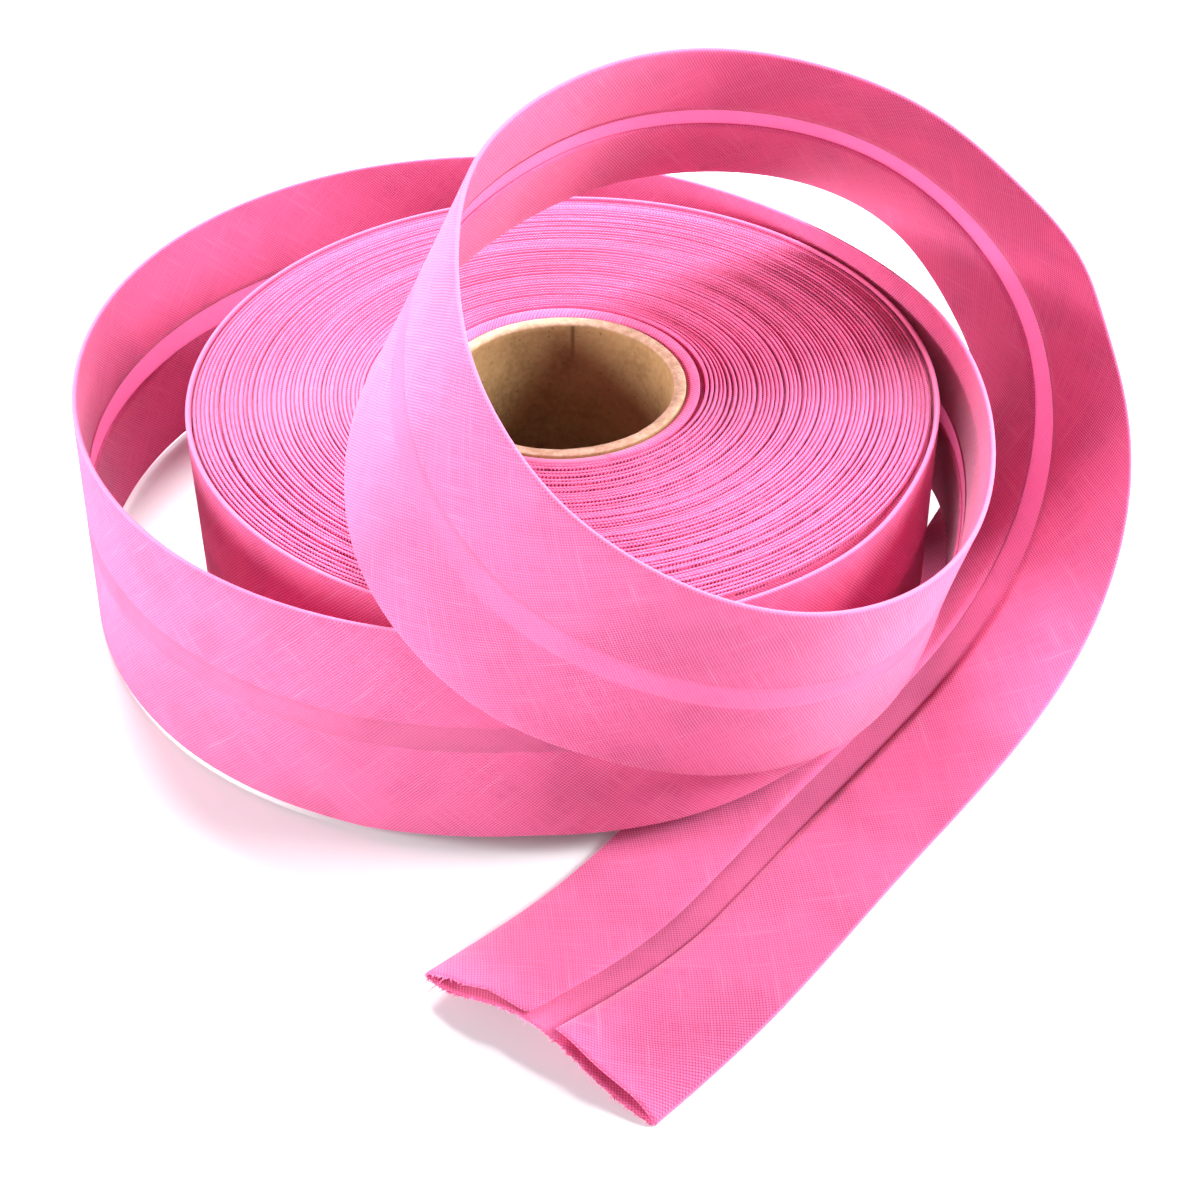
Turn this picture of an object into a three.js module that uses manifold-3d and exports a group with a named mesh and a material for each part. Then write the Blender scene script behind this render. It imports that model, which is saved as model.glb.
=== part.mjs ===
// A roll of wide single-fold bias binding on a cardboard core, lying flat, with its loose end
// run once round it and raised in a hoop. Millimetres, +Z up, the roll's axis upright.

import * as THREE from 'three';
import { mergeVertices } from 'three/addons/utils/BufferGeometryUtils.js';
import Module from 'manifold-3d';

const wasm = await Module();
wasm.setup();

// Driving dimensions
const BINDING_WIDTH = 40;
const ROLL_RADIUS = 62.5;
const CORE_RADIUS = 20.8;
const CORE_WALL = 2.3;
const CORE_DROP = 0.5;
const LAYER = 0.6;
const SLIT = 0.3;
const GROOVE = 5;
const UPPER_FLAP_LIFT = 3.4;
const LOWER_FLAP_LIFT = 1.2;
const END_ARCH = 4.5;
const LIFT_LENGTH = 36;
const CUT_SLANT = 3;
const GAP = 0.3;

const CLOTH_THICKNESS = 2 * LAYER + SLIT;
const HALF_WIDTH = BINDING_WIDTH / 2;

// Steps along and round the curved faces
const ROUND_STEPS = 96;
const STRIP_STEPS = 4;

// The loose strip, a row for each place along it, from where it leaves the roll to its cut end.
// x, y and z are the middle of its width from the roll's axis and the table. lean is how far its
// upper edge tips outward, in degrees: 0 stands upright and 90 lies flat with the flaps on top.
const SECTIONS = [
  { at: 'leaves the roll', x: 45.8, y: -45.2, z: 22, lean: 0 },
  { at: 'front', x: 18, y: -66, z: 22.5, lean: -5 },
  { at: 'front', x: -22, y: -67, z: 21.5, lean: -3 },
  { at: 'front left', x: -59, y: -47.5, z: 21, lean: -3 },
  { at: 'left', x: -80.5, y: -8, z: 20.5, lean: -2 },
  { at: 'back left', x: -75.5, y: 38.5, z: 20.5, lean: 0 },
  { at: 'back left', x: -44, y: 70.5, z: 20.5, lean: 1 },
  { at: 'back', x: -1, y: 75.5, z: 21, lean: 0 },
  { at: 'back right', x: 34, y: 58.5, z: 22, lean: -2 },
  { at: 'right', x: 56, y: 34.5, z: 24, lean: -7 },
  { at: 'right, over its own end', x: 66.5, y: 6, z: 26, lean: -4 },
  { at: 'right, over its own end', x: 64.5, y: -25, z: 26.5, lean: 8 },
  { at: 'hoop, starts to rise', x: 50.5, y: -57, z: 28.5, lean: 17 },
  { at: 'hoop, front', x: 30, y: -74, z: 35, lean: 18 },
  { at: 'hoop, front', x: 9.5, y: -79, z: 44, lean: 11 },
  { at: 'hoop, front left', x: -8, y: -75, z: 54, lean: -5 },
  { at: 'hoop, left', x: -19.5, y: -62, z: 64, lean: -22 },
  { at: 'hoop, left', x: -23, y: -41, z: 70.5, lean: -27 },
  { at: 'hoop, left', x: -19, y: -17, z: 74.5, lean: -25 },
  { at: 'hoop, top', x: -7.5, y: 4, z: 76, lean: -27 },
  { at: 'hoop, top', x: 10, y: 22, z: 75, lean: -32 },
  { at: 'hoop, back', x: 33, y: 34, z: 70, lean: -37 },
  { at: 'hoop, back', x: 55.5, y: 37, z: 61.5, lean: -38 },
  { at: 'hoop, comes down', x: 72.5, y: 33.5, z: 49, lean: -29 },
  { at: 'hoop, right', x: 83, y: 25.5, z: 35, lean: -1 },
  { at: 'hoop, right', x: 85, y: 10, z: 19, lean: 41 },
  { at: 'meets the table', x: 75, y: -13, z: 6, lean: 74 },
  { at: 'end, below the roll', x: 56, y: -39, z: 1.2, lean: 88 },
  { at: 'end, flat', x: 33, y: -67, z: 0.75, lean: 90 },
  { at: 'end, starts to lift', x: 12, y: -93, z: 1.1, lean: 91 },
  { at: 'cut end', x: -5, y: -110.5, z: 2.6, lean: 95 },
];

// Hollow below the roll's rim where the flat end passes: how far from the axis its straight side
// is, the way that it faces, and its height.
const TUCK = { distance: 44.5, bearing: -40.5, height: CLOTH_THICKNESS + 1.7 };

// Groups of turns that were wound a little higher or lower: the share of the winding at which each
// group ends, and how far its edges stand above the lowest group.
const TURN_GROUPS = [
  { until: 0.04, rise: 0.5 },
  { until: 0.1, rise: 0.2 },
  { until: 0.2, rise: 0.6 },
  { until: 0.33, rise: 0.3 },
  { until: 0.45, rise: 0.7 },
  { until: 0.6, rise: 0.4 },
  { until: 0.74, rise: 0.8 },
  { until: 0.86, rise: 0.5 },
  { until: 0.95, rise: 0.7 },
  { until: 1, rise: 0.3 },
];
const GROUP_STEP = 0.25;

const CLOTH = new THREE.MeshStandardMaterial({ color: 0xf0609c, roughness: 0.85, metalness: 0 });
const ROLLED_CLOTH = new THREE.MeshStandardMaterial({ color: 0xf58abb, roughness: 0.9, metalness: 0 });
const CARDBOARD = new THREE.MeshStandardMaterial({ color: 0x9b8a6b, roughness: 0.95, metalness: 0 });

function lathe(profile, material, name) {
  // LatheGeometry turns about +Y: the group of a lathe is laid over so that its axis is +Z.
  const points = [...profile, profile[0]].map(([radius, height]) => new THREE.Vector2(radius, height));
  const geometry = new THREE.LatheGeometry(points, ROUND_STEPS);
  geometry.rotateX(Math.PI / 2);
  const mesh = new THREE.Mesh(geometry, material);
  mesh.name = name;
  return mesh;
}

function core() {
  const inner = CORE_RADIUS - CORE_WALL;
  const top = BINDING_WIDTH - CORE_DROP;
  const bevel = 0.3;
  return lathe([
    [inner, 0],
    [CORE_RADIUS, 0],
    [CORE_RADIUS, top - bevel],
    [CORE_RADIUS - bevel, top],
    [inner + bevel, top],
    [inner, top - bevel],
  ], CARDBOARD, 'core');
}

function rollProfile() {
  const inner = CORE_RADIUS + GAP;
  const depth = ROLL_RADIUS - inner;
  const lowest = BINDING_WIDTH - Math.max(...TURN_GROUPS.map(({ rise }) => rise));
  const profile = [[inner, 0], [ROLL_RADIUS, 0]];
  for (let i = TURN_GROUPS.length - 1; i >= 0; i -= 1) {
    const start = i > 0 ? TURN_GROUPS[i - 1].until : 0;
    const height = lowest + TURN_GROUPS[i].rise;
    const outerTrim = i < TURN_GROUPS.length - 1 ? GROUP_STEP / 2 : 0;
    const innerTrim = i > 0 ? GROUP_STEP / 2 : 0;
    profile.push([inner + depth * TURN_GROUPS[i].until - outerTrim, height]);
    profile.push([inner + depth * start + innerTrim, height]);
  }
  return profile;
}

function toManifold(geometry) {
  const bare = geometry.clone();
  bare.deleteAttribute('normal');
  bare.deleteAttribute('uv');
  const merged = mergeVertices(bare, 1e-4);
  return new wasm.Manifold(new wasm.Mesh({
    numProp: 3,
    vertProperties: new Float32Array(merged.attributes.position.array),
    triVerts: new Uint32Array(merged.index.array),
  }));
}

function fromManifold(solid) {
  const { vertProperties, triVerts } = solid.getMesh();
  const geometry = new THREE.BufferGeometry();
  geometry.setAttribute('position', new THREE.BufferAttribute(new Float32Array(vertProperties), 3));
  geometry.setIndex(new THREE.BufferAttribute(new Uint32Array(triVerts), 1));
  geometry.computeVertexNormals();
  return geometry;
}

function roll() {
  const mesh = lathe(rollProfile(), ROLLED_CLOTH, 'roll');
  const reach = 2 * ROLL_RADIUS;
  const hollow = new THREE.BoxGeometry(reach, 2 * reach, 2 * TUCK.height);
  hollow.translate(TUCK.distance + reach / 2, 0, 0);
  hollow.rotateZ(THREE.MathUtils.degToRad(TUCK.bearing));
  mesh.geometry = fromManifold(toManifold(mesh.geometry).subtract(toManifold(hollow)));
  return mesh;
}

// A smooth curve through numbers given at increasing stations: a natural cubic spline.
function naturalSpline(stations, values) {
  const last = values.length - 1;
  const bend = new Array(last + 1).fill(0);
  const ratio = new Array(last + 1).fill(0);
  for (let i = 1; i < last; i += 1) {
    const before = stations[i] - stations[i - 1];
    const after = stations[i + 1] - stations[i];
    const slopeChange = (values[i + 1] - values[i]) / after - (values[i] - values[i - 1]) / before;
    const weight = 2 * (before + after) - before * ratio[i - 1];
    ratio[i] = after / weight;
    bend[i] = (6 * slopeChange - before * bend[i - 1]) / weight;
  }
  for (let i = last - 1; i > 0; i -= 1) bend[i] -= ratio[i] * bend[i + 1];
  return (i, share) => {
    const span = stations[i + 1] - stations[i];
    const a = 1 - share;
    const b = share;
    const curve = ((a ** 3 - a) * bend[i] + (b ** 3 - b) * bend[i + 1]) * span * span / 6;
    return a * values[i] + b * values[i + 1] + curve;
  };
}

// Places along the strip: the middle, the direction along, the direction to its upper edge, and
// the direction out of the cloth's right side.
function stripFrames() {
  const middles = SECTIONS.map(({ x, y, z }) => new THREE.Vector3(x, y, z));
  const stations = [0];
  for (let i = 1; i < middles.length; i += 1) {
    stations.push(stations[i - 1] + middles[i].distanceTo(middles[i - 1]));
  }
  const [x, y, z, lean] = ['x', 'y', 'z', 'lean']
    .map((column) => naturalSpline(stations, SECTIONS.map((section) => section[column])));
  const point = (i, share) => new THREE.Vector3(x(i, share), y(i, share), z(i, share));
  const up = new THREE.Vector3(0, 0, 1);
  const nudge = 1e-3;
  const frames = [];
  for (let i = 0; i < SECTIONS.length - 1; i += 1) {
    const stops = i < SECTIONS.length - 2 ? STRIP_STEPS : STRIP_STEPS + 1;
    for (let k = 0; k < stops; k += 1) {
      const share = k / STRIP_STEPS;
      const middle = point(i, share);
      const along = point(i, share + nudge).sub(point(i, share - nudge)).normalize();
      const outward = new THREE.Vector3().crossVectors(up, along).normalize();
      const rise = new THREE.Vector3().crossVectors(along, outward);
      const tip = THREE.MathUtils.degToRad(lean(i, share));
      const across = rise.clone().multiplyScalar(Math.cos(tip)).addScaledVector(outward, Math.sin(tip));
      const right = outward.clone().multiplyScalar(Math.cos(tip)).addScaledVector(rise, -Math.sin(tip));
      const station = THREE.MathUtils.lerp(stations[i], stations[i + 1], share);
      const fromEnd = stations[stations.length - 1] - station;
      frames.push({ middle, along, across, right, fromEnd });
    }
  }
  return frames;
}

// Half of the folded section, from the middle of the base round the fold to the flap and back
// inside it: across is the way to the fold, and out is towards the cloth's right side. The base and
// the flap have their points at the same places across, so that they stay parallel where the strip
// twists.
function halfSection(lift) {
  const half = CLOTH_THICKNESS / 2;
  const inner = half - LAYER;
  const flapEnd = GROOVE / 2;
  const turn = HALF_WIDTH - half;
  const places = [flapEnd, (flapEnd + turn) / 2, turn];
  const inwards = [...places].reverse();
  const raise = (across) => lift * (turn - across) / (turn - flapEnd);
  return [
    ...places.map((across) => ({ across, out: half })),
    { across: HALF_WIDTH - 0.25 * half, out: 0.6 * half },
    { across: HALF_WIDTH, out: 0 },
    { across: HALF_WIDTH - 0.25 * half, out: -0.6 * half },
    ...inwards.map((across) => ({ across, out: -half - raise(across) })),
    ...places.map((across) => ({ across, out: -inner - raise(across) })),
    ...inwards.map((across) => ({ across, out: inner })),
  ];
}

// The whole section in order: the upper half and then, backwards, the lower half's mirror image.
// Near the cut end it arches up from the table and its flaps open: nearEnd grows to 1 at the cut.
function section(nearEnd) {
  const opening = nearEnd ** 1.5;
  const upper = halfSection(UPPER_FLAP_LIFT * opening);
  const lower = halfSection(LOWER_FLAP_LIFT * opening);
  const mirrored = lower.map(({ across, out }) => ({ across: -across, out })).reverse();
  return [...upper, ...mirrored].map(({ across, out }) => {
    const arch = END_ARCH * opening * (1 - (across / HALF_WIDTH) ** 2);
    return { across, out: out - arch };
  });
}

function tail() {
  const frames = stripFrames();
  const positions = [];
  for (const { middle, along, across, right, fromEnd } of frames) {
    const nearEnd = Math.max(0, 1 - fromEnd / LIFT_LENGTH);
    for (const corner of section(nearEnd)) {
      const p = middle.clone().addScaledVector(across, corner.across).addScaledVector(right, corner.out);
      p.addScaledVector(along, -CUT_SLANT * nearEnd * corner.across / HALF_WIDTH);
      positions.push(p.x, p.y, Math.max(0, p.z));
    }
  }
  const flat = section(0);
  const count = flat.length;
  const index = [];
  for (let row = 0; row < frames.length - 1; row += 1) {
    for (let k = 0; k < count; k += 1) {
      const a = row * count + k;
      const b = row * count + (k + 1) % count;
      // Each face's diagonal slants the same way across, whichever way round the section runs.
      const rising = flat[(k + 1) % count].across > flat[k].across;
      if (rising) index.push(a, b, a + count, b, b + count, a + count);
      else index.push(a, b, b + count, a, b + count, a + count);
    }
  }
  const outline = flat.map(({ across, out }) => new THREE.Vector2(across, out));
  const openOutline = section(1).map(({ across, out }) => new THREE.Vector2(across, out));
  const end = (frames.length - 1) * count;
  for (const [a, b, c] of THREE.ShapeUtils.triangulateShape(outline, [])) index.push(a, b, c);
  for (const [a, b, c] of THREE.ShapeUtils.triangulateShape(openOutline, [])) {
    index.push(end + a, end + c, end + b);
  }
  const geometry = new THREE.BufferGeometry();
  geometry.setAttribute('position', new THREE.Float32BufferAttribute(positions, 3));
  geometry.setIndex(index);
  geometry.computeVertexNormals();
  const mesh = new THREE.Mesh(geometry, CLOTH);
  mesh.name = 'tail';
  return mesh;
}

// The origin is the middle of the whole part's outline, on the table.
const rollOfBinding = new THREE.Group();
rollOfBinding.add(core(), roll(), tail());
const bounds = new THREE.Box3().setFromObject(rollOfBinding, true);
const centre = bounds.getCenter(new THREE.Vector3());
rollOfBinding.position.set(-centre.x, -centre.y, -bounds.min.z);

export default rollOfBinding;
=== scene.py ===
"""A roll of hot pink single-fold bias binding on a cardboard core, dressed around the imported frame.

Metres and radians, unless a name says MM or the table is headed in millimetres and degrees. Places
on the binding are measured from the roll's axis and the table, as in the part's source.
"""

import math

import bpy
import numpy as np
from mathutils import Matrix, Vector


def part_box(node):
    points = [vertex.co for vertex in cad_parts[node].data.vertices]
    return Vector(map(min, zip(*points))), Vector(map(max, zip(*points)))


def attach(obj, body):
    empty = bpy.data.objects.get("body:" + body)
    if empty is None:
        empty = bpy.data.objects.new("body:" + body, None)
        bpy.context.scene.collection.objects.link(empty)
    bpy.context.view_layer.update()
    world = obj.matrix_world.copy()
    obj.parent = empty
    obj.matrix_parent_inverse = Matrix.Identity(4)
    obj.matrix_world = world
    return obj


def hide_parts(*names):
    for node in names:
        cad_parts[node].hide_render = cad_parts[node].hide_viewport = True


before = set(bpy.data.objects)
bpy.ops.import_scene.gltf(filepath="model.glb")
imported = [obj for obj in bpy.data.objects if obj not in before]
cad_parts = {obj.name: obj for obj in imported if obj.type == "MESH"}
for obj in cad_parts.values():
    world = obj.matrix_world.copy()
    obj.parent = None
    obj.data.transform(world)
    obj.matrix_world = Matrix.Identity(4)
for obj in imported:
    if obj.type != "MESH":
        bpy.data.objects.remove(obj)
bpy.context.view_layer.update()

MM = 0.001
roll_low, roll_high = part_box("roll")
core_low, core_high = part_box("core")
AXIS = Vector(((roll_low.x + roll_high.x) / 2, (roll_low.y + roll_high.y) / 2, 0.0))
ROLL_HEIGHT = roll_high.z
CORE_RADIUS = (core_high.x - core_low.x) / 2
CORE_TOP = core_high.z
CORE_WALL = 2.3 * MM
RANDOM = np.random.default_rng(20)

# The binding and its cloth
WIDTH = 40 * MM
GROOVE = 5 * MM
CLOTH = 0.28 * MM
LAYERS_APART = 0.6 * MM
BASE_OUT = 0.6 * MM
THREAD_PITCH = 0.42 * MM
CUT_SLANT = 3 * MM
LIFT_LENGTH = 36 * MM

# How finely the strip is made: points across its base, round each fold and across each flap, and
# the distance from one station to the next, which is shorter over the last of its length.
BASE_POINTS, FOLD_POINTS, FLAP_POINTS = 21, 5, 13
STEP_ALONG = 2.0 * MM
STEP_AT_END = 0.8 * MM
SHORT_STEPS_MM = 34
LOWEST_POINT = 0.02 * MM

# The last turn of the winding, which hugs the roll before the strip comes loose: bearings in
# degrees round the roll's axis, from +X towards +Y, radius and height of the strip's middle in mm.
HUGGING = [
    {"bearing": 288, "radius": 61.75, "z": 19.9},
    {"bearing": 262, "radius": 61.8, "z": 19.9},
    {"bearing": 236, "radius": 61.8, "z": 19.9},
    {"bearing": 210, "radius": 61.85, "z": 19.9},
    {"bearing": 184, "radius": 61.9, "z": 19.9},
    {"bearing": 158, "radius": 61.9, "z": 19.9},
    {"bearing": 132, "radius": 61.9, "z": 19.9},
    {"bearing": 106, "radius": 61.95, "z": 19.9},
    {"bearing": 80, "radius": 61.95, "z": 20.0},
    {"bearing": 54, "radius": 62.0, "z": 20.0},
    {"bearing": 30, "radius": 62.0, "z": 20.0},
    {"bearing": 6, "radius": 62.05, "z": 20.1},
    {"bearing": -16, "radius": 62.2, "z": 20.3},
    {"bearing": -32, "radius": 62.9, "z": 20.4},
]

# The loose strip, as in the part's source: the middle of its width in mm, and how far its upper
# edge tips outward, in degrees.
SECTIONS = [
    {"at": "leaves the roll", "x": 45.4, "y": -45.4, "z": 20.7, "lean": 0},
    {"at": "front", "x": 18, "y": -66, "z": 22.5, "lean": -5},
    {"at": "front", "x": -22, "y": -67, "z": 21.5, "lean": -3},
    {"at": "front left", "x": -59, "y": -47.5, "z": 21, "lean": -3},
    {"at": "left", "x": -80.5, "y": -8, "z": 20.5, "lean": -2},
    {"at": "back left", "x": -75.5, "y": 38.5, "z": 20.5, "lean": 0},
    {"at": "back left", "x": -44, "y": 70.5, "z": 20.5, "lean": 1},
    {"at": "back", "x": -1, "y": 75.5, "z": 21, "lean": 0},
    {"at": "back right", "x": 34, "y": 58.5, "z": 22, "lean": -2},
    {"at": "right", "x": 56, "y": 34.5, "z": 24, "lean": -7},
    {"at": "right, over its own end", "x": 66.5, "y": 6, "z": 26, "lean": -4},
    {"at": "right, over its own end", "x": 64.5, "y": -25, "z": 26.5, "lean": 8},
    {"at": "hoop, starts to rise", "x": 50.5, "y": -57, "z": 28.5, "lean": 17},
    {"at": "hoop, front", "x": 30, "y": -74, "z": 35, "lean": 18},
    {"at": "hoop, front", "x": 9.5, "y": -79, "z": 44, "lean": 11},
    {"at": "hoop, front left", "x": -8, "y": -75, "z": 54, "lean": -5},
    {"at": "hoop, left", "x": -19.5, "y": -62, "z": 64, "lean": -22},
    {"at": "hoop, left", "x": -23, "y": -41, "z": 70.5, "lean": -27},
    {"at": "hoop, left", "x": -19, "y": -17, "z": 74.5, "lean": -25},
    {"at": "hoop, top", "x": -7.5, "y": 4, "z": 76, "lean": -27},
    {"at": "hoop, top", "x": 10, "y": 22, "z": 75, "lean": -32},
    {"at": "hoop, back", "x": 33, "y": 34, "z": 70, "lean": -37},
    {"at": "hoop, back", "x": 55.5, "y": 37, "z": 61.5, "lean": -38},
    {"at": "hoop, comes down", "x": 72.5, "y": 33.5, "z": 49, "lean": -29},
    {"at": "hoop, right", "x": 83, "y": 25.5, "z": 35, "lean": -1},
    {"at": "hoop, right", "x": 85, "y": 10, "z": 19, "lean": 41},
    {"at": "meets the table", "x": 75, "y": -13, "z": 6, "lean": 74},
    {"at": "end, below the roll", "x": 56, "y": -39, "z": 1.2, "lean": 88},
    {"at": "end, flat", "x": 33, "y": -67, "z": 0.75, "lean": 90},
    {"at": "end, starts to lift", "x": 12, "y": -93, "z": 1.1, "lean": 91},
    {"at": "cut end", "x": -5, "y": -110.5, "z": 2.6, "lean": 95},
]

# How the cut end arches up from the table: how far the base stands above the route, and the flap
# above the base, in mm across the strip from its lower edge to its upper edge.
CUT_END = [
    {"across": -20, "base": 0.0, "flap": 0.0},
    {"across": -16.5, "base": -0.3, "flap": 2.5},
    {"across": -12, "base": 1.4, "flap": 2.3},
    {"across": -8, "base": 3.2, "flap": 1.3},
    {"across": -3, "base": 4.5, "flap": 0.4},
    {"across": 3, "base": 3.9, "flap": 2.2},
    {"across": 8, "base": 2.2, "flap": 2.3},
    {"across": 13, "base": 0.6, "flap": 2.6},
    {"across": 17, "base": 0.1, "flap": 2.0},
    {"across": 20, "base": 0.0, "flap": 0.0},
]
NOTCH = {"across": -11 * MM, "depth": 0.9 * MM, "softness": 0.25 * MM, "set_back": 0.6}

# How far the flaps' cut edges stand off the base in mm: a usual lift, and waves of three lengths in
# metres.
EDGE_LIFTS = [
    {"flap": "lower", "lift": -0.18, "wave": 0.06, "lengths": (0.071, 0.043, 0.113), "seed": 3},
    {"flap": "upper", "lift": -0.16, "wave": 0.07, "lengths": (0.083, 0.049, 0.127), "seed": 4},
]

# Loose thread ends at the cut: how many, how far they go on past the lower fold, how much they
# stray sideways, stray up and bend, as shares of their length, their shortest and longest in mm, the
# share of them that is longer, and how many times as long.
THREAD_ENDS = {
    "count": 260,
    "past_fold": 9 * MM,
    "sideways": 0.7,
    "upward": 0.35,
    "bend": 0.25,
    "lengths": (0.15, 0.6),
    "long_share": 0.05,
    "long_factor": 2.2,
    "lowest": 0.03 * MM,
}

# A thread end's thickness: how far along it, and its radius in mm
THREAD_PROFILE = [(-0.15, 0.085), (0.5, 0.075), (1.0, 0.03)]

# The wound turns under the last one. Halfway out they sit a little towards the front.
FIRST_TURN = 23.5 * MM
LAST_TURN = 61.45 * MM
TURN_COUNT = 50
TURN_STEPS = 144
TURNS_BOTTOM = 0.6 * MM
LOWER_EDGE = {"lowest": 0.05 * MM, "between": 0.5 * MM}
GAP_TO_CORE = 0.12 * MM
USUAL_GAP = 0.03 * MM
GAP_DEPTH = 1.8 * MM
GAP_FLOOR = 1.4 * MM
SHIFT = {"most": 1.2 * MM, "radius": 33 * MM, "spread": 10 * MM, "bearing": math.radians(-105)}
SHIFT_FADES = {"inner": 4 * MM, "outer": 10 * MM}
LAST_BEARING = math.radians(288)

# How high the folded edges stand, in mm from the roll's top: their usual height, how high they may
# go, how much one differs from the next, and slow swells by the turn and by the bearing in radians.
EDGES_USUAL, EDGES_HIGHEST, EDGES_SPREAD = -0.3, 0.3, 0.09
SWELLS = [
    {"height": 0.16, "by_turn": 0.75, "by_bearing": 0, "shift": 0},
    {"height": 0.12, "by_turn": 0.31, "by_bearing": 0, "shift": 1},
    {"height": 0.06, "by_turn": 0.4, "by_bearing": 2, "shift": 0},
]

# Where the flat end passes below the roll: how far from the axis this starts, the way that it faces
# and how high the turns' lower edges are there.
TUCK = {"distance": 44.5 * MM, "bearing": math.radians(-40.5), "height": 3.2 * MM}

# From there on to the front, the last turn's lower edge is drawn up: lengths along the strip in
# metres, and the share of its width that it gives up.
SQUEEZE = [
    {"length": 0.36, "share": 0.0},
    {"length": 0.376, "share": 0.055},
    {"length": 0.42, "share": 0.055},
    {"length": 0.445, "share": 0.0},
]

# A wound turn's folded edge: how far through its thickness, and how far below its crown
FOLD_PROFILE = [
    (0.0, GAP_DEPTH),
    (0.03, 0.34 * MM),
    (0.22, 0.09 * MM),
    (0.5, 0.0),
    (0.78, 0.09 * MM),
    (0.97, 0.34 * MM),
    (1.0, GAP_DEPTH),
]

# Gaps that stand out between the turns: radius and greatest width in mm, and the bearing in degrees
# where the gap is widest.
WIDE_GAPS = [
    {"radius": 24.3, "width": 0.35, "bearing": -90},
    {"radius": 27.7, "width": 0.4, "bearing": 60},
    {"radius": 29.0, "width": 0.25, "bearing": -70},
    {"radius": 32.4, "width": 0.5, "bearing": 50},
    {"radius": 36.7, "width": 0.35, "bearing": -20},
    {"radius": 39.8, "width": 0.45, "bearing": 75},
    {"radius": 43.2, "width": 0.3, "bearing": -80},
    {"radius": 46.2, "width": 0.3, "bearing": -100},
    {"radius": 48.0, "width": 0.35, "bearing": -80},
    {"radius": 50.9, "width": 0.3, "bearing": -120},
    {"radius": 52.1, "width": 0.4, "bearing": 60},
    {"radius": 53.8, "width": 0.3, "bearing": -90},
    {"radius": 56.2, "width": 0.45, "bearing": -100},
    {"radius": 58.4, "width": 0.25, "bearing": -80},
    {"radius": 60.2, "width": 0.2, "bearing": -60},
]

# The first turn's edge flares out from the core: distance outward as a share of its width, and
# height in mm below the roll's top.
FLARE = [
    {"share": 0.0, "drop": 1.15},
    {"share": 0.25, "drop": 0.75},
    {"share": 0.6, "drop": 0.45},
    {"share": 0.85, "drop": 0.3},
    {"share": 0.97, "drop": 0.42},
    {"share": 1.0, "drop": 1.0},
]

# The core: points round it, how ragged its torn rim is, the waves round it that make it so, and the
# bearing of the crease inside.
CORE_STEPS = 256
RAGGED = 0.12 * MM
RAGGED_WAVES = (2, 3, 5, 8, 13, 21, 34, 55)
CREASE_BEARING = math.radians(84)

# Camera, from the roll's axis and the table
EYE = Vector((0.0, -309.3, 246.6)) * MM
YAW, PITCH, TILT = 0.0200, 0.68818, -0.00354
LENS_MM, SENSOR_MM = 66.27, 36.0

# Light: bearings round the roll and heights above the table in degrees, power in watts
LIGHT_DISTANCE, LIGHT_SIZE, ROOM_LIGHT = 1.2, 0.6, 0.25
SOFTBOXES = [
    {"name": "low left", "bearing": 187, "elevation": 14, "power": 32},
    {"name": "right", "bearing": 0, "elevation": 30, "power": 36},
    {"name": "back", "bearing": 95, "elevation": 56, "power": 43},
    {"name": "low front", "bearing": 270, "elevation": 14, "power": 3},
]


def add_camera():
    forward = Vector((
        math.sin(YAW) * math.cos(PITCH),
        math.cos(YAW) * math.cos(PITCH),
        -math.sin(PITCH),
    ))
    level = Vector((math.cos(YAW), -math.sin(YAW), 0.0))
    raised = level.cross(forward)
    right = math.cos(TILT) * level + math.sin(TILT) * raised
    up = -math.sin(TILT) * level + math.cos(TILT) * raised
    data = bpy.data.cameras.new("camera")
    data.lens = LENS_MM
    data.sensor_width = SENSOR_MM
    data.clip_start = 0.01
    camera = bpy.data.objects.new("camera", data)
    turned = Matrix((right, up, -forward)).transposed().to_4x4()
    camera.matrix_world = Matrix.Translation(AXIS + EYE) @ turned
    bpy.context.scene.collection.objects.link(camera)
    bpy.context.scene.camera = camera


# Meshes

def add_mesh(name, points, faces, uvs=None, smooth=True):
    """A mesh object. uvs holds one (u, v) for each point."""
    mesh = bpy.data.meshes.new(name)
    mesh.from_pydata([tuple(p) for p in points], [], [tuple(int(i) for i in f) for f in faces])
    if uvs is not None:
        layer = mesh.uv_layers.new(name="cloth")
        corners = np.empty(len(mesh.loops), int)
        mesh.loops.foreach_get("vertex_index", corners)
        layer.data.foreach_set("uv", np.asarray(uvs, np.float32)[corners].ravel())
    mesh.polygons.foreach_set("use_smooth", [smooth] * len(mesh.polygons))
    mesh.update()
    piece = bpy.data.objects.new(name, mesh)
    bpy.context.scene.collection.objects.link(piece)
    return piece


def grid_faces(rows, columns, closed_across=False):
    """Quads between the points of rows × columns, whose normals face along × across."""
    row = np.arange(rows - 1)[:, None]
    last = columns if closed_across else columns - 1
    column = np.arange(last)[None, :]
    a = row * columns + column
    b = row * columns + (column + 1) % columns
    return np.stack([a, b, b + columns, a + columns], axis=-1).reshape(-1, 4)


# The strip's route

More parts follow.
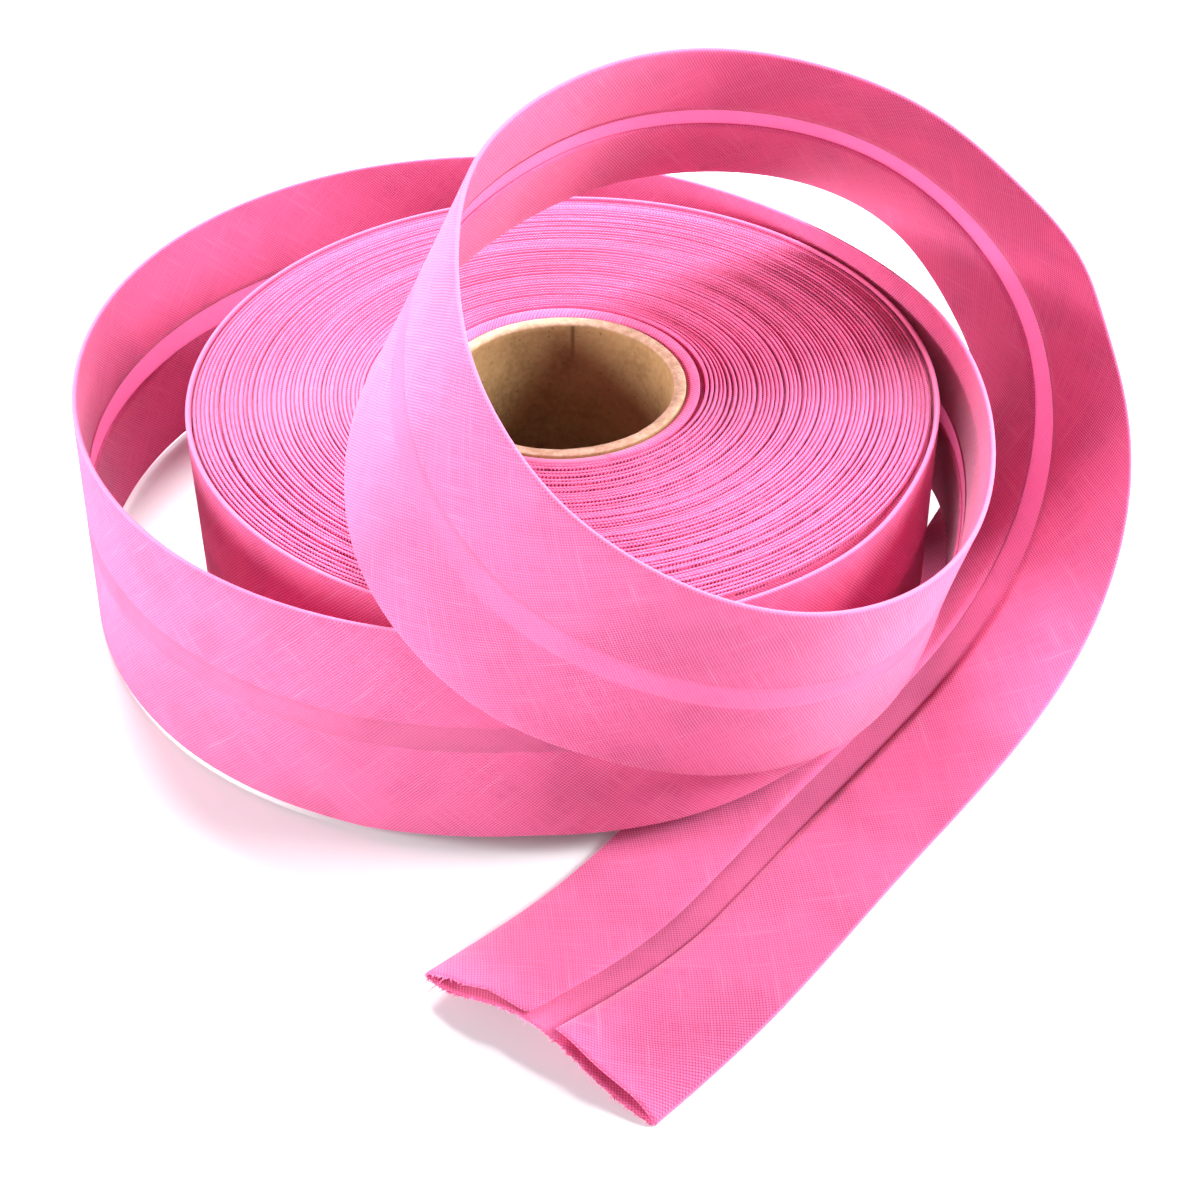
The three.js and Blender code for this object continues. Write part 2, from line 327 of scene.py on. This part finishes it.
def natural_spline(stations, values):
    """A smooth function through values at increasing stations: a natural cubic spline."""
    count = len(stations)
    span = np.diff(stations)
    system = np.zeros((count, count))
    bends = np.zeros(count)
    system[0, 0] = system[-1, -1] = 1
    for i in range(1, count - 1):
        system[i, i - 1] = span[i - 1]
        system[i, i] = 2 * (span[i - 1] + span[i])
        system[i, i + 1] = span[i]
        slope_before = (values[i] - values[i - 1]) / span[i - 1]
        slope_after = (values[i + 1] - values[i]) / span[i]
        bends[i] = 6 * (slope_after - slope_before)
    second = np.linalg.solve(system, bends)

    def at(place):
        i = np.clip(np.searchsorted(stations, place, side="right") - 1, 0, count - 2)
        b = (place - stations[i]) / span[i]
        a = 1 - b
        curve = ((a**3 - a) * second[i] + (b**3 - b) * second[i + 1]) * span[i] ** 2 / 6
        return a * values[i] + b * values[i + 1] + curve

    return at


def strip_rows():
    """The rows of the route, from the start of the last wound turn to the cut end."""
    rows = []
    for turn in HUGGING:
        bearing, radius = math.radians(turn["bearing"]), turn["radius"]
        rows.append((radius * math.cos(bearing), radius * math.sin(bearing), turn["z"], 0))
    rows += [(s["x"], s["y"], s["z"], s["lean"]) for s in SECTIONS]
    return np.array(rows, float)


def unit(vectors):
    return vectors / np.linalg.norm(vectors, axis=-1, keepdims=True)


def strip_frames():
    """Middle, direction along, direction to the upper edge and direction out of the right side, at
    close stations along the strip, with each one's distance from the start."""
    rows = strip_rows()
    chords = np.linalg.norm(np.diff(rows[:, :3], axis=0), axis=1)
    stations = np.concatenate([[0], np.cumsum(chords)])
    route = [natural_spline(stations, rows[:, k]) for k in range(4)]
    end = stations[-1]
    fine = end - SHORT_STEPS_MM
    coarse_count = int(round(fine * MM / STEP_ALONG))
    fine_count = int(round((end - fine) * MM / STEP_AT_END))
    places = np.concatenate([
        np.linspace(0, fine, coarse_count, endpoint=False),
        np.linspace(fine, end, fine_count + 1),
    ])

    def point(at):
        return np.stack([route[k](at) for k in range(3)], axis=-1)

    middle = point(places)
    nearby = 0.01
    along = unit(point(places + nearby) - point(places - nearby))
    up = np.array([0.0, 0.0, 1.0])
    outward = unit(np.cross(up, along))
    rise = np.cross(along, outward)
    lean = np.radians(route[3](places))[:, None]
    across = rise * np.cos(lean) + outward * np.sin(lean)
    right = outward * np.cos(lean) - rise * np.sin(lean)
    length = np.concatenate([[0], np.cumsum(np.linalg.norm(np.diff(middle, axis=0), axis=1))])
    return middle * MM, along, across, right, length * MM


def waves(place, lengths, seed):
    """A smooth irregular line of height about 1: waves of a few lengths, added."""
    shifts = np.random.default_rng(seed).uniform(0, 2 * math.pi, len(lengths))
    total = sum(
        np.sin(2 * math.pi * place / length + shift) for length, shift in zip(lengths, shifts)
    )
    usual_peak = 1.6 * math.sqrt(len(lengths) / 2)
    return total / usual_peak


def cut_end_heights():
    """Smooth functions of the distance across: how far base and flaps stand up at the cut."""
    column = {name: np.array([row[name] for row in CUT_END]) * MM for name in CUT_END[0]}
    return [natural_spline(column["across"], column[name]) for name in ("base", "flap")]


def strip_section(opening, edge_lifts, heights):
    """The folded cloth's middle surface across the strip, from the lower flap's cut edge to the
    upper one's: distance across, distance out and flat distance from the middle of the base.
    opening grows to 1 at the cut end, and edge_lifts lift the flaps' cut edges everywhere."""
    base_height, flap_height = heights
    fold = LAYERS_APART / 2
    turn = WIDTH / 2 - fold - CLOTH / 2
    flap_out = BASE_OUT - LAYERS_APART
    flap_width = turn - GROOVE / 2
    base = np.linspace(-turn, turn, BASE_POINTS)
    base_points = [(x, BASE_OUT - opening * base_height(x), x) for x in base]
    halves = []
    for side, edge_lift in zip((-1, 1), edge_lifts):
        points = []
        for angle in np.linspace(0, math.pi, FOLD_POINTS + 2)[1:-1]:
            flat = turn + fold * angle
            out = BASE_OUT - fold * (1 - math.cos(angle))
            points.append((side * (turn + fold * math.sin(angle)), out, side * flat))
        for share in np.linspace(0, 1, FLAP_POINTS):
            x = side * (turn - share * flap_width)
            raised = opening * (base_height(x) + flap_height(x)) + edge_lift * share**2
            flat = turn + fold * math.pi + share * flap_width
            points.append((x, flap_out - raised, side * flat))
        halves.append(points)
    return np.array(halves[0][::-1] + base_points + halves[1])


def cut_line(section, near_end):
    """How far along the strip each point of a section is moved, so that the cut is slanted and the
    lower flap has its notch."""
    x = section[:, 0]
    on_lower_flap = section[:, 2] < -WIDTH / 2 - LAYERS_APART
    past_notch = 1 / (1 + np.exp((x - NOTCH["across"]) / NOTCH["softness"]))
    notch = NOTCH["depth"] * (past_notch - NOTCH["set_back"]) * on_lower_flap
    return near_end * (notch - CUT_SLANT * x / (WIDTH / 2))


def make_strip():
    """The loose strip with the last wound turn, its length, its cut edge and the way it faces."""
    middle, along, across, right, length = strip_frames()
    heights = cut_end_heights()
    total = length[-1]
    edge_lifts = np.stack([
        (row["lift"] + row["wave"] * waves(length, row["lengths"], row["seed"])) * MM
        for row in EDGE_LIFTS
    ], axis=-1)
    squeezes = np.interp(
        length, [row["length"] for row in SQUEEZE], [row["share"] for row in SQUEEZE]
    )
    outer, inner, flats = [], [], []
    for i in range(len(length)):
        from_end = total - length[i]
        near_end = max(0.0, 1 - from_end / LIFT_LENGTH)
        section = strip_section(near_end**1.5, edge_lifts[i], heights)
        section[:, 0] = WIDTH / 2 - (WIDTH / 2 - section[:, 0]) * (1 - squeezes[i])
        run = unit(np.gradient(section[:, :2], axis=0))
        normal = np.stack([-run[:, 1], run[:, 0]], axis=-1)
        shift = cut_line(section, near_end)
        for sign, rows in ((1, outer), (-1, inner)):
            moved = section[:, :2] + sign * normal * CLOTH / 2
            place = (
                middle[i]
                + moved[:, :1] * across[i]
                + moved[:, 1:] * right[i]
                + shift[:, None] * along[i]
            )
            rows.append(place)
        flats.append(np.stack([section[:, 2], length[i] + shift], axis=-1))
    outer, inner, flats = np.array(outer), np.array(inner), np.array(flats)
    ring = np.concatenate([outer, inner[:, ::-1]], axis=1)
    uvs = np.concatenate([flats, flats[:, ::-1]], axis=1)
    rows, columns = ring.shape[:2]
    points = ring.reshape(-1, 3)
    points[:, 2] = np.maximum(points[:, 2], LOWEST_POINT)
    faces = list(grid_faces(rows, columns, closed_across=True))
    half = columns // 2
    first, last = 0, (rows - 1) * columns
    for k in range(half - 1):
        faces.append((first + k, first + columns - 1 - k, first + columns - 2 - k, first + k + 1))
        faces.append((last + k + 1, last + columns - 2 - k, last + columns - 1 - k, last + k))
    piece = add_mesh("loose_strip", points + np.array(AXIS), faces, uvs.reshape(-1, 2))
    cut_edge = (outer[-1] + inner[-1]) / 2
    return piece, total, cut_edge, along[-1]


def make_threads(cut_edge, along):
    """Loose ends of thread that stand out of the cut edge: thin tapered stubs, bent once."""
    spans = np.linalg.norm(np.diff(cut_edge, axis=0), axis=1)
    reach = np.concatenate([[0], np.cumsum(spans)])
    points, faces = [], []
    first_on_base = FLAP_POINTS + FOLD_POINTS
    starts = reach[first_on_base] - THREAD_ENDS["past_fold"]
    ends = reach[first_on_base + BASE_POINTS - 1]

    def on_edge(place):
        return np.array([np.interp(place, reach, cut_edge[:, k]) for k in range(3)])

    for place in RANDOM.uniform(starts, ends, THREAD_ENDS["count"]):
        root = on_edge(place)
        edge = unit(on_edge(place + 0.1 * MM) - root + 1e-9)
        way = along + edge * RANDOM.normal(0, THREAD_ENDS["sideways"])
        way = unit(way + np.array([0, 0, 1]) * RANDOM.normal(0, THREAD_ENDS["upward"]))
        bend = RANDOM.normal(0, THREAD_ENDS["bend"], 3)
        size = RANDOM.uniform(*THREAD_ENDS["lengths"]) * MM
        if RANDOM.random() < THREAD_ENDS["long_share"]:
            size *= THREAD_ENDS["long_factor"]
        side = unit(np.cross(way, [0.3, 0.2, 1.0]))
        other = np.cross(way, side)
        first = len(points)
        for share, radius in THREAD_PROFILE:
            centre = root + way * share * size + bend * max(share, 0) ** 2 * size
            for outward in (side, other, -side, -other):
                points.append(centre + outward * radius * MM)
        faces += list(grid_faces(len(THREAD_PROFILE), 4, closed_across=True) + first)
        faces.append(tuple(range(len(points) - 4, len(points))))
    points = np.array(points)
    points[:, 2] = np.maximum(points[:, 2], THREAD_ENDS["lowest"])
    return add_mesh("cut_threads", points + np.array(AXIS), faces, np.zeros((len(points), 2)))


# The wound turns

def torus_faces(rings, steps):
    """Quads between closed rings, the last of which joins the first."""
    faces = grid_faces(rings + 1, steps, closed_across=True)
    return faces // steps % rings * steps + faces % steps


def round_axis(radius, bearings, height):
    """Points at these distances, bearings and heights round the roll's axis."""
    return np.stack([radius * np.cos(bearings), radius * np.sin(bearings), height], axis=-1)


def turn_radii(bearings):
    """Each wound turn's inner radius and the gap outside it: a row for each turn, a column for each
    bearing. The radii have one row more, for the outside of the last turn."""
    gaps = []
    for turn in range(TURN_COUNT):
        sway = 1 + 0.8 * np.sin(bearings + RANDOM.uniform(0, 2 * math.pi))
        gaps.append(USUAL_GAP * RANDOM.exponential(1.0) * sway)
    spacing = (LAST_TURN - FIRST_TURN) / TURN_COUNT
    for wide in WIDE_GAPS:
        turn = int((wide["radius"] * MM - FIRST_TURN) / spacing)
        facing = 0.35 + 0.65 * (0.5 + 0.5 * np.cos(bearings - math.radians(wide["bearing"]))) ** 1.5
        gaps[turn] = gaps[turn] + wide["width"] * MM * facing
    gaps = np.array(gaps)
    thickness = RANDOM.uniform(0.85, 1.15, TURN_COUNT)[:, None] * np.ones(len(bearings))
    thickness *= (LAST_TURN - FIRST_TURN - gaps.sum(axis=0)) / thickness.sum(axis=0)
    reach = np.cumsum(thickness + gaps, axis=0)
    even = FIRST_TURN + np.concatenate([np.zeros((1, len(bearings))), reach])
    bell = np.exp(-(((even - SHIFT["radius"]) / SHIFT["spread"]) ** 2))
    inner_fade = np.clip((even - FIRST_TURN) / SHIFT_FADES["inner"], 0, 1)
    outer_fade = np.clip((LAST_TURN - even) / SHIFT_FADES["outer"], 0, 1)
    shift = SHIFT["most"] * bell * inner_fade * outer_fade * np.cos(bearings - SHIFT["bearing"])
    return even + shift, gaps


def folded_edges(radii, gaps, bearings):
    """The turns' folded upper edges as one spiral: points and cloth places, a row for each
    station."""
    turns = len(gaps)
    share = np.arange(TURN_STEPS) / TURN_STEPS
    inside = (radii[:-1] + (radii[1:] - radii[:-1]) * share).ravel()
    next_gap = np.concatenate([gaps[1:], gaps[-1:]])
    gap = (gaps + (next_gap - gaps) * share).ravel()
    outside = np.concatenate([inside[TURN_STEPS:], radii[-1]]) - gap
    bearing = np.tile(bearings, turns)
    wound = np.arange(turns * TURN_STEPS) / TURN_STEPS
    own = RANDOM.normal(0, EDGES_SPREAD, turns + 2)
    low = np.floor(wound).astype(int)
    step = own[low] + (own[low + 1] - own[low]) * (wound - low) ** 3
    swell = sum(
        row["height"] * np.sin(row["by_bearing"] * bearing + wound * row["by_turn"] + row["shift"])
        for row in SWELLS
    )
    top = ROLL_HEIGHT + np.minimum(EDGES_USUAL + step + swell, EDGES_HIGHEST) * MM
    length = np.cumsum(inside * 2 * math.pi / TURN_STEPS)
    points, uvs = [], []
    for outward, drop in FOLD_PROFILE:
        radius = inside + outward * (outside - inside)
        points.append(round_axis(radius, bearing, top - drop))
        side = 1 if outward < 0.5 else -1
        across = WIDTH / 2 + side * (abs(0.5 - outward) * (outside - inside) + drop)
        uvs.append(np.stack([across, length], axis=-1))
    return np.stack(points, axis=1), np.stack(uvs, axis=1)


def roll_body(radii, bearings):
    """What the folded edges stand on, as closed rings: the floor of the gaps, the first turn's
    flared edge, the walls and the turns' lower edges."""
    inner = CORE_RADIUS + GAP_TO_CORE
    outer = radii[-1].max()
    flare_end = radii[0] - (0.25 + 0.15 * np.sin(bearings * 2 + 1)) * MM
    gap_floor = ROLL_HEIGHT - GAP_FLOOR
    even = np.ones(len(bearings))
    rings = [(inner * even, TURNS_BOTTOM)]
    for row in FLARE:
        rings.append((inner + row["share"] * (flare_end - inner), ROLL_HEIGHT - row["drop"] * MM))
    rings.append((flare_end, gap_floor))
    rings.append((outer * even, gap_floor))
    rings.append((outer * even, TURNS_BOTTOM))
    for near, far in zip(radii[:-1][::-1], radii[1:][::-1]):
        rings.append(((near + far) / 2, LOWER_EDGE["lowest"]))
        rings.append((near, LOWER_EDGE["between"]))
    points, uvs = [], []
    across = 0.0
    before = rings[0]
    for radius, z in rings:
        across += math.hypot(float(np.mean(radius - before[0])), z - before[1])
        before = (radius, z)
        over_end = radius * np.cos(bearings - TUCK["bearing"]) > TUCK["distance"]
        height = np.where(over_end & (z < TUCK["height"]), TUCK["height"] + 0.3 * z, z)
        points.append(round_axis(radius, bearings, height))
        uvs.append(np.stack([across * even + 2 * WIDTH, -bearings * np.mean(radius)], axis=-1))
    return np.stack(points), np.stack(uvs)


def make_turns():
    bearings = LAST_BEARING - np.arange(TURN_STEPS) * 2 * math.pi / TURN_STEPS
    radii, gaps = turn_radii(bearings)
    edges, edge_uvs = folded_edges(radii, gaps, bearings)
    body, body_uvs = roll_body(radii, bearings)
    rings, steps = body.shape[:2]
    body_faces = torus_faces(rings, steps)
    edge_faces = grid_faces(edges.shape[0], edges.shape[1]) + rings * steps
    points = np.concatenate([body.reshape(-1, 3), edges.reshape(-1, 3)])
    uvs = np.concatenate([body_uvs.reshape(-1, 2), edge_uvs.reshape(-1, 2)])
    faces = np.concatenate([body_faces, edge_faces])
    return add_mesh("wound_turns", points + np.array(AXIS), faces, uvs)


# The core

def make_core():
    """The cardboard tube: rings from the foot up the outside, over the torn rim, down the bore."""
    inner = CORE_RADIUS - CORE_WALL
    bearings = np.arange(CORE_STEPS) * 2 * math.pi / CORE_STEPS
    even = np.ones(CORE_STEPS)
    ragged = sum(
        np.sin(n * bearings + RANDOM.uniform(0, 6.28)) * RANDOM.uniform(0.2, 1) / n**0.6
        for n in RAGGED_WAVES
    ) * RAGGED
    top = CORE_TOP + ragged * 0.5
    lip = inner + 0.35 * MM + np.abs(ragged) * 1.6
    rings = [
        (inner * even, 0 * even),
        (CORE_RADIUS * even, 0 * even),
        (CORE_RADIUS * even, top - 0.3 * MM),
        ((CORE_RADIUS - 0.25 * MM) * even, top - 0.02 * MM),
        ((lip + CORE_RADIUS) / 2, top),
        (lip, top - 0.12 * MM),
        (inner + 0.12 * MM + ragged * 0.3, top - 0.7 * MM),
        (inner * even, top - 1.6 * MM),
        (inner * even, CORE_TOP * 0.5 * even),
    ]
    points = np.concatenate([round_axis(radius, bearings, z) for radius, z in rings])
    faces = torus_faces(len(rings), CORE_STEPS)
    return add_mesh("core_tube", points + np.array(AXIS), faces)


# Materials

class Shading:
    """Builds a material's nodes."""

    def __init__(self, name):
        self.material = bpy.data.materials.new(name)
        self.material.use_nodes = True
        self.tree = self.material.node_tree
        self.tree.nodes.clear()

    def node(self, kind, **settings):
        made = self.tree.nodes.new(kind)
        for key, value in settings.items():
            setattr(made, key, value)
        return made

    def put(self, socket, value):
        if isinstance(value, bpy.types.NodeSocket):
            self.tree.links.new(value, socket)
        else:
            socket.default_value = value

    def separate(self, vector):
        made = self.node("ShaderNodeSeparateXYZ")
        self.put(made.inputs[0], vector)
        return made.outputs

    def math(self, operation, a, b=None, c=None):
        made = self.node("ShaderNodeMath", operation=operation)
        for socket, value in zip(made.inputs, (a, b, c)):
            if value is not None:
                self.put(socket, value)
        return made.outputs[0]

    def vector(self, x, y, z=0.0):
        made = self.node("ShaderNodeCombineXYZ")
        for socket, value in zip(made.inputs, (x, y, z)):
            self.put(socket, value)
        return made.outputs[0]

    def noise(self, vector, scale, detail=2.0, roughness=0.5):
        made = self.node("ShaderNodeTexNoise")
        self.put(made.inputs["Vector"], vector)
        made.inputs["Scale"].default_value = scale
        made.inputs["Detail"].default_value = detail
        made.inputs["Roughness"].default_value = roughness
        return made.outputs[0]

    def ramp(self, value, low, high, from_value=0.0, to_value=1.0):
        """value's way from low to high, eased, as a number from from_value to to_value."""
        made = self.node("ShaderNodeMapRange", interpolation_type="SMOOTHSTEP")
        for socket, number in zip(made.inputs, (value, low, high, from_value, to_value)):
            self.put(socket, number)
        return made.outputs[0]

    def mix(self, share, a, b):
        made = self.node("ShaderNodeMix", data_type="RGBA")
        self.put(made.inputs[0], share)
        self.put(made.inputs[6], a)
        self.put(made.inputs[7], b)
        return made.outputs[2]

    def bump(self, height, distance, strength):
        made = self.node("ShaderNodeBump")
        made.inputs["Distance"].default_value = distance
        made.inputs["Strength"].default_value = strength
        self.put(made.inputs["Height"], height)
        return made.outputs[0]

    def surface(self, colour, roughness, specular=None, normal=None, sheen=None):
        """A Principled shader. What isn't given stays as Blender has it."""
        made = self.node("ShaderNodeBsdfPrincipled")
        self.put(made.inputs["Base Color"], colour)
        made.inputs["Roughness"].default_value = roughness
        if specular is not None:
            made.inputs["Specular IOR Level"].default_value = specular
        if normal is not None:
            self.put(made.inputs["Normal"], normal)
        if sheen is not None:
            made.inputs["Sheen Weight"].default_value = sheen["weight"]
            made.inputs["Sheen Roughness"].default_value = sheen["roughness"]
            made.inputs["Sheen Tint"].default_value = sheen["tint"]
        return made.outputs[0]

    def finish(self, shader):
        out = self.node("ShaderNodeOutputMaterial")
        self.put(out.inputs["Surface"], shader)
        return self.material


PINK = (0.9, 0.17, 0.38, 1)
# The paler pink below is a highlight painted along the folds, and the paler places of the thread ends
PINK_PALE_AND_HIGHLIGHT = (0.82, 0.22, 0.42, 1)
# The deep pink below darkens thinner threads and is painted shade in the hollows between threads; the
# dark pink after it is painted shade, in the open places of the weave and down the outer sides of the
# wound turns' folds
PINK_DEEP_AND_SHADE = (0.36, 0.006, 0.07, 1)
PINK_SHADE = (0.14, 0.004, 0.045, 1)
# The groove's paler pink below is partly painted light, as if shining through its single layer, and
# partly makes up for the larger share it lets through
PINK_GROOVE_PAINTED_LIGHT = (0.93, 0.25, 0.5, 1)
THROUGH = (0.8, 0.33, 0.52, 1)
SLUB = (0.9, 0.26, 0.46, 1)
COTTON_SHEEN = {"weight": 0.22, "roughness": 0.5, "tint": (1.0, 0.75, 0.93, 1)}
CARDBOARD = (0.2, 0.115, 0.045, 1)
CARDBOARD_LIGHT = (0.27, 0.165, 0.07, 1)
CARDBOARD_FIBRE = (0.36, 0.23, 0.11, 1)
CARDBOARD_SPECK = (0.1, 0.06, 0.03, 1)
CREASE_SHADE = (0.07, 0.035, 0.012, 1)
TORN_DARK = (0.34, 0.22, 0.14, 1)
TORN_LIGHT = (0.52, 0.38, 0.28, 1)
TABLE_WHITE = (0.72, 0.72, 0.74, 1)

# The weave: how round the threads are, how much lower the thread below is, how far they wander off
# their line, in threads, and how a thicker thread's noise is stretched across and along it.
CROWN = 0.6
THREAD_BELOW = 0.42
WANDER, WANDER_SCALE = 1.1, 180.0
SLUB_ACROSS, SLUB_ALONG = 0.55, 0.035


def weave(s, u, v):
    """Plain weave on the bias: height of the threads, and where thicker and thinner ones run."""
    scale = 1 / (math.sqrt(2) * THREAD_PITCH)
    wander = s.noise(s.vector(u, v), WANDER_SCALE, 1.0)
    drift = s.math("MULTIPLY_ADD", wander, WANDER, -WANDER / 2)
    p = s.math("ADD", s.math("MULTIPLY", s.math("ADD", u, v), scale), drift)
    q = s.math("SUBTRACT", s.math("MULTIPLY", s.math("SUBTRACT", u, v), scale), drift)
    wave_p = s.math("SINE", s.math("MULTIPLY", p, math.pi))
    wave_q = s.math("SINE", s.math("MULTIPLY", q, math.pi))
    over = s.math("MULTIPLY", wave_p, wave_q)
    crown_p = s.math("POWER", s.math("ABSOLUTE", wave_p), CROWN)
    crown_q = s.math("POWER", s.math("ABSOLUTE", wave_q), CROWN)
    above = 1 - THREAD_BELOW
    warp = s.math("MULTIPLY", crown_p, s.math("MULTIPLY_ADD", over, THREAD_BELOW, above))
    weft = s.math("MULTIPLY", crown_q, s.math("MULTIPLY_ADD", over, -THREAD_BELOW, above))
    height = s.math("MAXIMUM", warp, weft)
    elsewhere = 7.0
    across_p, along_q = s.math("MULTIPLY", p, SLUB_ACROSS), s.math("MULTIPLY", q, SLUB_ALONG)
    along_p, across_q = s.math("MULTIPLY", p, SLUB_ALONG), s.math("MULTIPLY", q, SLUB_ACROSS)
    streak_p = s.noise(s.vector(across_p, along_q), 1.0, 1.0)
    streak_q = s.noise(s.vector(along_p, across_q, elsewhere), 1.0, 1.0)
    return height, s.math("MAXIMUM", streak_p, streak_q)


def cloth_material(name, folded_edges=False):
    """Matte cotton, with a highlight painted along its folds. With folded_edges, the fold is the top
    of a wound turn, and shade is painted down its outer side, in the dashes that the bias threads
    leave there."""
    s = Shading(name)
    u, v, _ = s.separate(s.node("ShaderNodeUVMap", uv_map="cloth").outputs[0])
    height, streaks = weave(s, u, v)
    from_middle = s.math("ABSOLUTE", u)
    half, soft = GROOVE / 2, 0.3 * MM
    single = s.ramp(from_middle, half - soft, half + soft, 1.0, 0.0)

    # Thicker and thinner threads, painted shade in the hollows between threads, and painted shade in
    # the open places of the weave, where the shade under the cloth shows through
    # Where the base is a single layer it is paler: painted light, as if shining through it, which
    # also makes up for the larger translucent share there
    plain = PINK if folded_edges else s.mix(single, PINK, PINK_GROOVE_PAINTED_LIGHT)
    colour = s.mix(s.ramp(streaks, 0.6, 0.82, 0.0, 0.75), plain, SLUB)
    colour = s.mix(s.ramp(streaks, 0.4, 0.56, 0.15, 0.0), colour, PINK_DEEP_AND_SHADE)
    colour = s.mix(s.ramp(height, 0.15, 0.9, 0.85, 0.0), colour, PINK_DEEP_AND_SHADE)
    openness = s.ramp(s.noise(s.vector(u, v), 60.0, 2.0), 0.36, 0.64, 0.3, 0.8)
    colour = s.mix(s.ramp(height, 0.0, openness, 0.95, 0.0), colour, PINK_SHADE)

    from_fold = s.math("SUBTRACT", from_middle, WIDTH / 2)
    if folded_edges:
        # Painted shade down the outer side of each fold, towards the gap between turns, in dashes
        # where the bias threads cross the fold
        crossings = s.math("MULTIPLY", v, math.pi * math.sqrt(2) / THREAD_PITCH)
        uneven = s.math("MULTIPLY_ADD", s.noise(s.vector(u, v), 500.0, 2.0), 5.0, -2.6)
        shade_dashes = s.ramp(s.math("ADD", s.math("SINE", crossings), uneven), -0.3, 0.4)
        outer_side = s.ramp(from_fold, -0.38 * MM, -0.31 * MM, 1.0, 0.0)
        colour = s.mix(s.math("MULTIPLY", shade_dashes, outer_side), colour, PINK_SHADE)
        lets_through = 0.05
    else:
        # Painted highlight along the folds
        crease = s.ramp(s.math("ABSOLUTE", from_fold), 0.1 * MM, 0.45 * MM, 0.6, 0.0)
        colour = s.mix(crease, colour, PINK_PALE_AND_HIGHLIGHT)
        lets_through = s.math("MULTIPLY_ADD", single, 0.3, 0.2)

    through = s.node("ShaderNodeBsdfTranslucent")
    through.inputs["Color"].default_value = THROUGH
    both = s.node("ShaderNodeMixShader")
    s.put(both.inputs[0], lets_through)
    s.put(both.inputs[1], s.surface(
        colour, 0.88, specular=0.25, normal=s.bump(height, 0.1 * MM, 0.6), sheen=COTTON_SHEEN
    ))
    s.put(both.inputs[2], through.outputs[0])
    return s.finish(both.outputs[0])


def cardboard_material():
    """Brown cardboard, torn and lighter where it faces up, with shade painted along one crease
    inside.
    """
    s = Shading("cardboard")
    where = s.node("ShaderNodeTexCoord").outputs["Object"]
    fibres = s.noise(where, 900.0, 4.0, 0.65)
    blotches = s.noise(where, 120.0, 3.0)
    specks = s.ramp(s.noise(where, 1400.0, 1.0), 0.68, 0.76, 0.0, 0.7)
    x, y, z = s.separate(where)
    bearing = s.math("ARCTAN2", s.math("SUBTRACT", y, AXIS.y), s.math("SUBTRACT", x, AXIS.x))
    from_crease = s.math("ABSOLUTE", s.math("SUBTRACT", bearing, CREASE_BEARING))
    crease_ends = s.ramp(z, CORE_TOP - 9 * MM, CORE_TOP - 2 * MM)
    crease = s.math("MULTIPLY", s.ramp(from_crease, 0.004, 0.03, 0.75, 0.0), crease_ends)
    colour = s.mix(s.ramp(blotches, 0.3, 0.7), CARDBOARD, CARDBOARD_LIGHT)
    colour = s.mix(s.ramp(fibres, 0.35, 0.7, 0.0, 0.4), colour, CARDBOARD_FIBRE)
    colour = s.mix(specks, colour, CARDBOARD_SPECK)
    # Painted shade along the crease inside the core
    colour = s.mix(crease, colour, CREASE_SHADE)
    _, _, facing_up = s.separate(s.node("ShaderNodeNewGeometry").outputs["Normal"])
    torn = s.mix(s.ramp(fibres, 0.3, 0.75), TORN_DARK, TORN_LIGHT)
    colour = s.mix(s.ramp(facing_up, 0.3, 0.8), colour, torn)
    normal = s.bump(fibres, 0.15 * MM, 0.6)
    return s.finish(s.surface(colour, 0.92, specular=0.2, normal=normal))


def thread_material():
    """Loose thread ends, lighter and darker along their length."""
    s = Shading("thread")
    fuzz = s.noise(s.node("ShaderNodeTexCoord").outputs["Object"], 1500.0, 2.0)
    return s.finish(s.surface(s.mix(s.ramp(fuzz, 0.35, 0.65), PINK, PINK_PALE_AND_HIGHLIGHT), 0.9))


def table_material():
    s = Shading("white_table")
    return s.finish(s.surface(TABLE_WHITE, 0.7))


# Stage

def add_floor():
    reach = 3.0
    points = [(-reach, -reach, 0), (reach, -reach, 0), (reach, reach, 0), (-reach, reach, 0)]
    floor = add_mesh("floor", points, [(0, 1, 2, 3)], smooth=False)
    floor.data.materials.append(table_material())


def add_softbox(name, bearing, elevation, power):
    """A round softbox at LIGHT_DISTANCE that looks at the roll. Angles in degrees."""
    turn, rise = math.radians(bearing), math.radians(elevation)
    flat = math.cos(rise)
    away = Vector((math.cos(turn) * flat, math.sin(turn) * flat, math.sin(rise)))
    data = bpy.data.lights.new(name, "AREA")
    data.shape = "DISK"
    data.size = LIGHT_SIZE
    data.energy = power
    light = bpy.data.objects.new(name, data)
    light.location = away * LIGHT_DISTANCE
    light.rotation_euler = away.to_track_quat("Z", "Y").to_euler()
    bpy.context.scene.collection.objects.link(light)


def add_light():
    """Softboxes round the table and a faint white room."""
    world = bpy.data.worlds.new("studio")
    world.use_nodes = True
    background = world.node_tree.nodes["Background"]
    background.inputs["Color"].default_value = (1.0, 1.0, 1.0, 1)
    background.inputs["Strength"].default_value = ROOM_LIGHT
    bpy.context.scene.world = world
    for softbox in SOFTBOXES:
        add_softbox(**softbox)
    bpy.context.scene.view_settings.view_transform = "Standard"


# The pieces

add_camera()

strip, strip_length, cut_edge, end_direction = make_strip()
strip.data.materials.append(cloth_material("strip_cloth"))
threads = make_threads(cut_edge, end_direction)
threads.data.materials.append(thread_material())
turns = make_turns()
turns.data.materials.append(cloth_material("wound_cloth", folded_edges=True))
core = make_core()
core.data.materials.append(cardboard_material())

for piece, node, slot in (
    (strip, "tail", "cloth"),
    (turns, "roll", "cloth"),
    (core, "core", "cardboard"),
):
    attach(piece, "root")
    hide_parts(node)
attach(threads, "root")

add_floor()
add_light()
